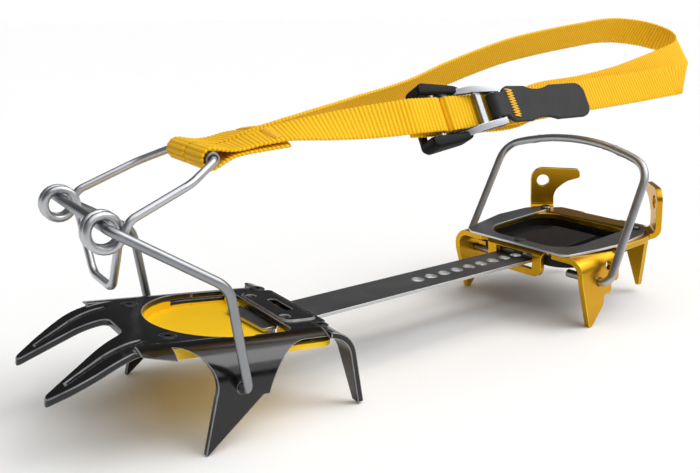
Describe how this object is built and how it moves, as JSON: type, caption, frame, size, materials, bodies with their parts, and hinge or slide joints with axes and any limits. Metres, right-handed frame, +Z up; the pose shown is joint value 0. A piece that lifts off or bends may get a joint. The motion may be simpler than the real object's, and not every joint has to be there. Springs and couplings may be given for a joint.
{
  "type": "ski mountaineering crampon",
  "caption": "Hybrid crampon with a black steel toe unit, gold aluminium heel unit, perforated link bar, wire toe bail with lever, and a yellow ankle strap with buckle.",
  "frame": {"origin": "middle of the footprint at ground level, under the middle of the part's overall box", "axes": "+X forward to the front points, +Y to the wearer's left, +Z up"},
  "size_m": [0.3662, 0.112, 0.1452],
  "materials": {
    "black_paint": "gloss",
    "yellow_plastic": "satin",
    "black_rivet": "satin",
    "bar_steel": "satin",
    "bail_wire": "satin",
    "lever_steel": "satin",
    "tube_steel": "satin",
    "webbing": "woven",
    "buckle_alloy": "satin",
    "buckle_black": "matte",
    "tab_rubber": "matte",
    "gold_alloy": "anodised",
    "black_plastic": "matte",
    "spring_steel": "satin",
    "rivet_steel": "satin"
  },
  "bodies": {
    "toe": {"toe_plate": "black_paint", "toe_rivets": "black_rivet", "toe_antiball_plate": "yellow_plastic"},
    "bar": {"link_bar": "bar_steel"},
    "heel": {"heel_frame": "gold_alloy", "heel_antiball_plate": "black_plastic", "heel_clips": "black_plastic", "lock_rivets": "rivet_steel"},
    "lock": {"lock_spring": "spring_steel", "lock_pin": "spring_steel"},
    "heel_bail": {"heel_bail": "bail_wire"},
    "toe_bail": {"toe_bail": "bail_wire"},
    "lever": {"lever_wire": "lever_steel", "lever_tube": "tube_steel"},
    "strap": {"short_strap": "webbing", "long_strap": "webbing", "buckle_frame": "buckle_alloy", "buckle_cover": "buckle_black", "pull_tab": "tab_rubber"}
  },
  "joints": [
    {"name": "bar_swing", "type": "hinge", "parent": "toe", "child": "bar", "pos_m": [0.0953, 0.0075, 0.028], "axis": [0, 0, 1], "range_deg": [-9.2, 0.4]},
    {"name": "heel_slide", "type": "slide", "parent": "bar", "child": "heel", "axis": [0.9968, 0.0802, 0], "range_m": [-0.0252, 0.0588]},
    {"name": "lock_lift", "type": "hinge", "parent": "heel", "child": "lock", "pos_m": [-0.12252, -0.01002, 0.03878], "axis": [0.0802, -0.9968, 0], "range_deg": [0, 4], "stiffness_Nm_per_rad": 2, "springref_deg": -2.86},
    {"name": "heel_bail_pivot", "type": "hinge", "parent": "heel", "child": "heel_bail", "pos_m": [-0.07259, -0.00601, 0.02239], "axis": [-0.0802, 0.9968, 0], "range_deg": [-14, 105]},
    {"name": "toe_bail_pivot", "type": "hinge", "parent": "toe", "child": "toe_bail", "pos_m": [0.1214, 0.0075, 0.0223], "axis": [0, 1, 0], "range_deg": [0, 18]},
    {"name": "lever_pivot", "type": "hinge", "parent": "toe_bail", "child": "lever", "pos_m": [0.1612, 0.0075, 0.0822], "axis": [0, 1, 0], "range_deg": [0, 95]},
    {"name": "strap_swing", "type": "hinge", "parent": "lever", "child": "strap", "pos_m": [0.1178, 0.0075, 0.0984], "axis": [0, 1, 0], "range_deg": [0, 80]}
  ]
}
